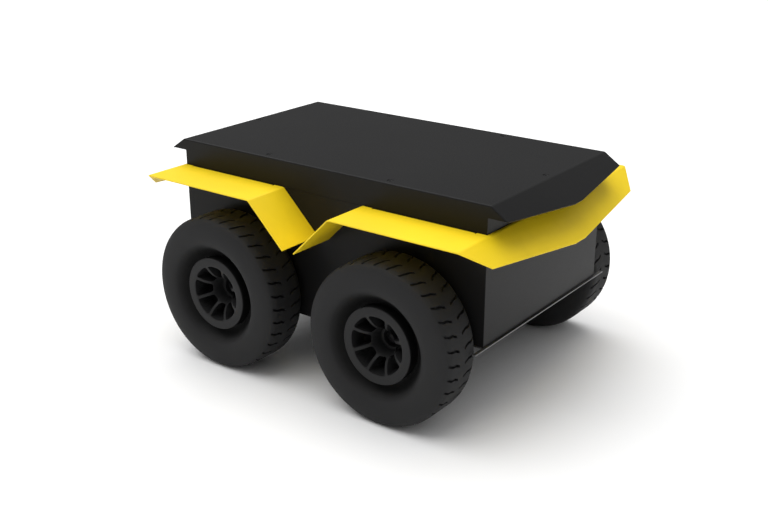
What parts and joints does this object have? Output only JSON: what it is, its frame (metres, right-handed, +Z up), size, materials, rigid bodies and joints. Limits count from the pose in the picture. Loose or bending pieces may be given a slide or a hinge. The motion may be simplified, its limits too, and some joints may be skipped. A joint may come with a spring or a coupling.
{
  "type": "four wheel robot chassis",
  "caption": "Box-shaped wheeled robot chassis with a flat bevelled top cover, folded fenders, driven spoked wheels and a drive inside the tub.",
  "frame": {"origin": "on the floor, under the middle of the body", "axes": "+X towards the front, +Y to the left side, +Z up"},
  "size_m": [0.7168, 0.534, 0.3535],
  "materials": {
    "black_paint": "fine-textured satin black powder coat",
    "yellow_paint": "satin yellow powder coat",
    "bare_metal": "brushed, bare",
    "frame_steel": "black primer",
    "motor_steel": "blackened",
    "zinc_steel": "zinc plated",
    "dark_steel": "black oxide",
    "tyre_rubber": "matt moulded rubber with siped tread",
    "rim_plastic": "moulded black plastic",
    "battery_case": "moulded dark blue plastic",
    "box_plastic": "moulded grey plastic",
    "strap_web": "woven webbing"
  },
  "bodies": {
    "chassis": {"top_cover": "black_paint", "deck_frame": "frame_steel", "tub": "black_paint", "skid_plate_front": "bare_metal", "skid_plate_rear": "bare_metal", "front_fender": "yellow_paint", "rear_fender": "yellow_paint", "motor_cradle_front": "bare_metal", "motor_cradle_rear": "bare_metal", "battery": "battery_case", "battery_tray": "bare_metal", "battery_strap": "strap_web", "motor_controller_front": "box_plastic", "motor_controller_rear": "box_plastic", "computer": "box_plastic", "fuse_block": "box_plastic", "cover_screw_1": "dark_steel", "cover_screw_2": "dark_steel", "cover_screw_3": "dark_steel", "cover_screw_4": "dark_steel", "cover_screw_5": "dark_steel", "cover_screw_6": "dark_steel", "gearmotor_front_left": "motor_steel", "axle_bearing_front_left": "dark_steel", "fender_bolt_front_left_1": "zinc_steel", "fender_bolt_front_left_2": "zinc_steel", "gearmotor_front_right": "motor_steel", "axle_bearing_front_right": "dark_steel", "fender_bolt_front_right_1": "zinc_steel", "fender_bolt_front_right_2": "zinc_steel", "gearmotor_rear_left": "motor_steel", "axle_bearing_rear_left": "dark_steel", "fender_bolt_rear_left_1": "zinc_steel", "fender_bolt_rear_left_2": "zinc_steel", "gearmotor_rear_right": "motor_steel", "axle_bearing_rear_right": "dark_steel", "fender_bolt_rear_right_1": "zinc_steel", "fender_bolt_rear_right_2": "zinc_steel"},
    "wheel_front_left": {"tyre_front_left": "tyre_rubber", "rim_front_left": "rim_plastic", "hub_front_left": "dark_steel", "drive_shaft_front_left": "dark_steel", "axle_nut_front_left": "dark_steel"},
    "wheel_front_right": {"tyre_front_right": "tyre_rubber", "rim_front_right": "rim_plastic", "hub_front_right": "dark_steel", "drive_shaft_front_right": "dark_steel", "axle_nut_front_right": "dark_steel"},
    "wheel_rear_left": {"tyre_rear_left": "tyre_rubber", "rim_rear_left": "rim_plastic", "hub_rear_left": "dark_steel", "drive_shaft_rear_left": "dark_steel", "axle_nut_rear_left": "dark_steel"},
    "wheel_rear_right": {"tyre_rear_right": "tyre_rubber", "rim_rear_right": "rim_plastic", "hub_rear_right": "dark_steel", "drive_shaft_rear_right": "dark_steel", "axle_nut_rear_right": "dark_steel"}
  },
  "joints": [
    {"name": "wheel_spin_front_left", "type": "hinge", "parent": "chassis", "child": "wheel_front_left", "pos_m": [0.166, 0.2245, 0.1295], "axis": [0, 1, 0], "continuous": true},
    {"name": "wheel_spin_front_right", "type": "hinge", "parent": "chassis", "child": "wheel_front_right", "pos_m": [0.166, -0.2245, 0.1295], "axis": [0, 1, 0], "continuous": true},
    {"name": "wheel_spin_rear_left", "type": "hinge", "parent": "chassis", "child": "wheel_rear_left", "pos_m": [-0.166, 0.2245, 0.1295], "axis": [0, 1, 0], "continuous": true},
    {"name": "wheel_spin_rear_right", "type": "hinge", "parent": "chassis", "child": "wheel_rear_right", "pos_m": [-0.166, -0.2245, 0.1295], "axis": [0, 1, 0], "continuous": true}
  ]
}
